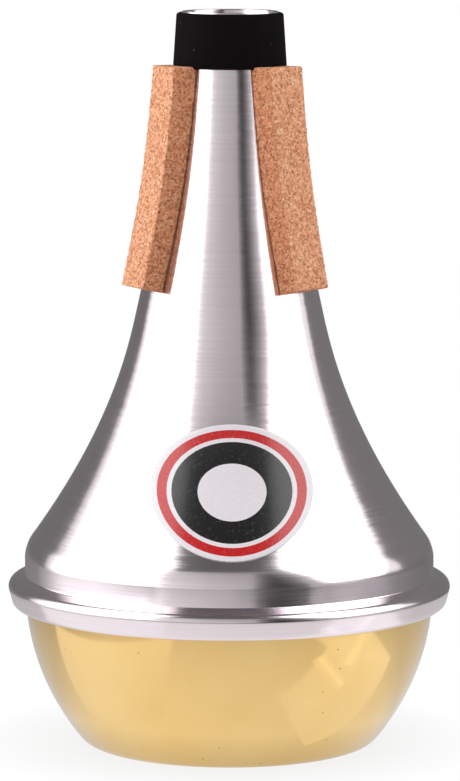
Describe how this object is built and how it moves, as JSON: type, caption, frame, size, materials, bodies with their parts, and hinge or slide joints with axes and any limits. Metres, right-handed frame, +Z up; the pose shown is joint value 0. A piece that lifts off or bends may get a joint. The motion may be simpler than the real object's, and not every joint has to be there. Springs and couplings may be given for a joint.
{
  "type": "trumpet straight mute",
  "caption": "Hollow flared aluminium trumpet mute with a spun brass cup, a black neck sleeve and cork grip strips, standing on its flat base.",
  "frame": {"origin": "middle of the flat face of the brass cup that the mute stands on", "axes": "+Z up along the mute's axis towards its small open end, -Y towards the front, which carries the badge, +X to the right seen from the front"},
  "size_m": [0.0836, 0.0836, 0.1391],
  "materials": {
    "spun_aluminium": "bright, finely brushed round the axis",
    "spun_brass": "polished and lacquered, pale gold",
    "black_sleeve": "matt black",
    "cork": "fine pressed cork granules, cut faces, dry",
    "adhesive": "dried contact adhesive",
    "badge_vinyl": "printed gloss vinyl"
  },
  "bodies": {
    "root": {"body_shell": "spun_aluminium", "base_cup": "spun_brass", "neck_sleeve": "black_sleeve", "cork_left": "cork", "cork_right": "cork", "cork_rear": "cork", "cork_adhesive_left": "adhesive", "cork_adhesive_right": "adhesive", "cork_adhesive_rear": "adhesive", "badge_label": "badge_vinyl"}
  },
  "joints": []
}
